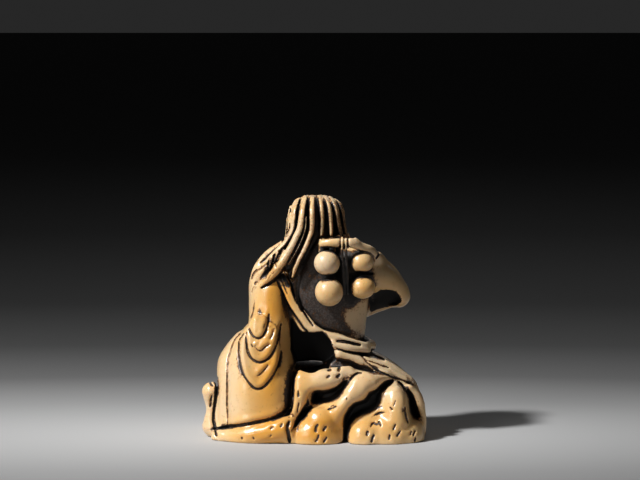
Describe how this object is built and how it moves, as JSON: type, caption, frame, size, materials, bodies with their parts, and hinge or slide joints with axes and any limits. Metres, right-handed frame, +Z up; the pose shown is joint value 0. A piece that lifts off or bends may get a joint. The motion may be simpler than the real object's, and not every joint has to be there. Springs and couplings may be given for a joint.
{
  "type": "netsuke",
  "caption": "Carved ivory netsuke of a long-haired hermit seated on a rock, a hand over the shoulder holding round fruits on cords, with a cord passage in the back.",
  "frame": {"origin": "centre of the bounding box on the flat underside", "axes": "+Z up to the crown, +Y the way the figure faces, +X to the figure's right"},
  "size_m": [0.0372, 0.0242, 0.04],
  "materials": {
    "ivory": "polished old ivory, cream to warm orange, with dark brown stain left in the cuts"
  },
  "bodies": {
    "root": {"seated_hermit_on_rock": "ivory"}
  },
  "joints": []
}
